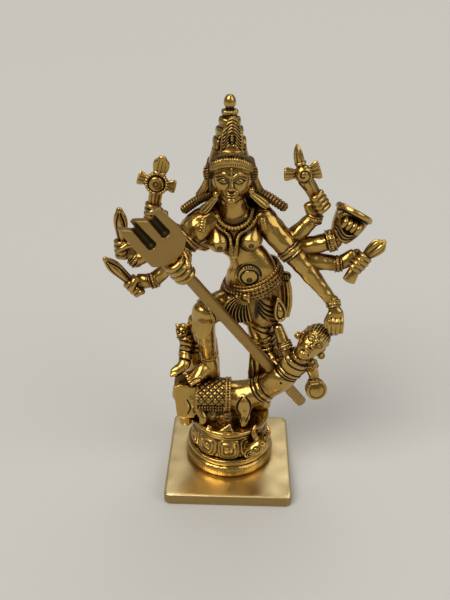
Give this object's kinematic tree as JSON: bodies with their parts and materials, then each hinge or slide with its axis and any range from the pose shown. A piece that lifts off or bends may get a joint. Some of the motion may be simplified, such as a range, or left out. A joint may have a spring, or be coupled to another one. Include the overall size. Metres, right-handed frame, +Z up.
{
  "type": "hindu deity statue",
  "caption": "Cast brass goddess statue on a lotus pedestal: a many-armed figure with a trident, a lion, a buffalo and a demon.",
  "frame": {"origin": "centre of the base plate's flat underside", "axes": "+X to the viewer's right, +Y away from the viewer to the figure's back, +Z up to the crown's tip"},
  "size_m": [0.1327, 0.066, 0.2004],
  "materials": {
    "polished_brass": "polished, with dark patina in the grooves",
    "satin_brass": "filed and satin",
    "dull_brass": "dull and browned"
  },
  "bodies": {
    "statue": {"base_plate": "satin_brass", "belt": "polished_brass", "bent_foot": "polished_brass", "bent_leg": "polished_brass", "braid_left_side": "polished_brass", "braid_right_side": "polished_brass", "bud_arm": "polished_brass", "bud_hand": "polished_brass", "buffalo": "polished_brass", "conch": "polished_brass", "conch_arm": "polished_brass", "conch_hand": "polished_brass", "crown": "polished_brass", "crown_plaque": "polished_brass", "cup": "polished_brass", "cup_arm": "polished_brass", "cup_fingers": "polished_brass", "demon_head": "polished_brass", "demon_low_arm": "polished_brass", "demon_raised_arm": "polished_brass", "demon_shield": "polished_brass", "demon_torso": "polished_brass", "discus": "polished_brass", "discus_arm": "polished_brass", "discus_hand": "polished_brass", "ear_pendant_left_side": "polished_brass", "ear_pendant_right_side": "polished_brass", "front_pleats": "polished_brass", "ground_rock": "polished_brass", "hair": "polished_brass", "head": "polished_brass", "hip_sash": "polished_brass", "left_arm": "polished_brass", "left_hand": "polished_brass", "lion": "polished_brass", "lotus_bud": "polished_brass", "lotus_drum": "polished_brass", "lower_blade": "polished_brass", "lower_blade_arm": "polished_brass", "lower_blade_hand": "polished_brass", "necklaces": "polished_brass", "pedestal_deck": "polished_brass", "pedestal_foot": "polished_brass", "rear_support": "polished_brass", "right_arm": "polished_brass", "right_fist": "polished_brass", "saddle_cloth": "polished_brass", "severed_head": "polished_brass", "skirt": "polished_brass", "standing_foot": "polished_brass", "standing_leg": "polished_brass", "teardrop_pendant": "polished_brass", "tiara": "polished_brass", "torso": "polished_brass", "upper_blade": "polished_brass", "upper_blade_arm": "polished_brass", "upper_blade_hand": "polished_brass"},
    "trident": {"trident": "dull_brass"}
  },
  "joints": [
    {"name": "trident_slide", "type": "slide", "parent": "statue", "child": "trident", "axis": [-0.5537, -0.1967, 0.8091], "range_m": [0, 0.1]}
  ]
}
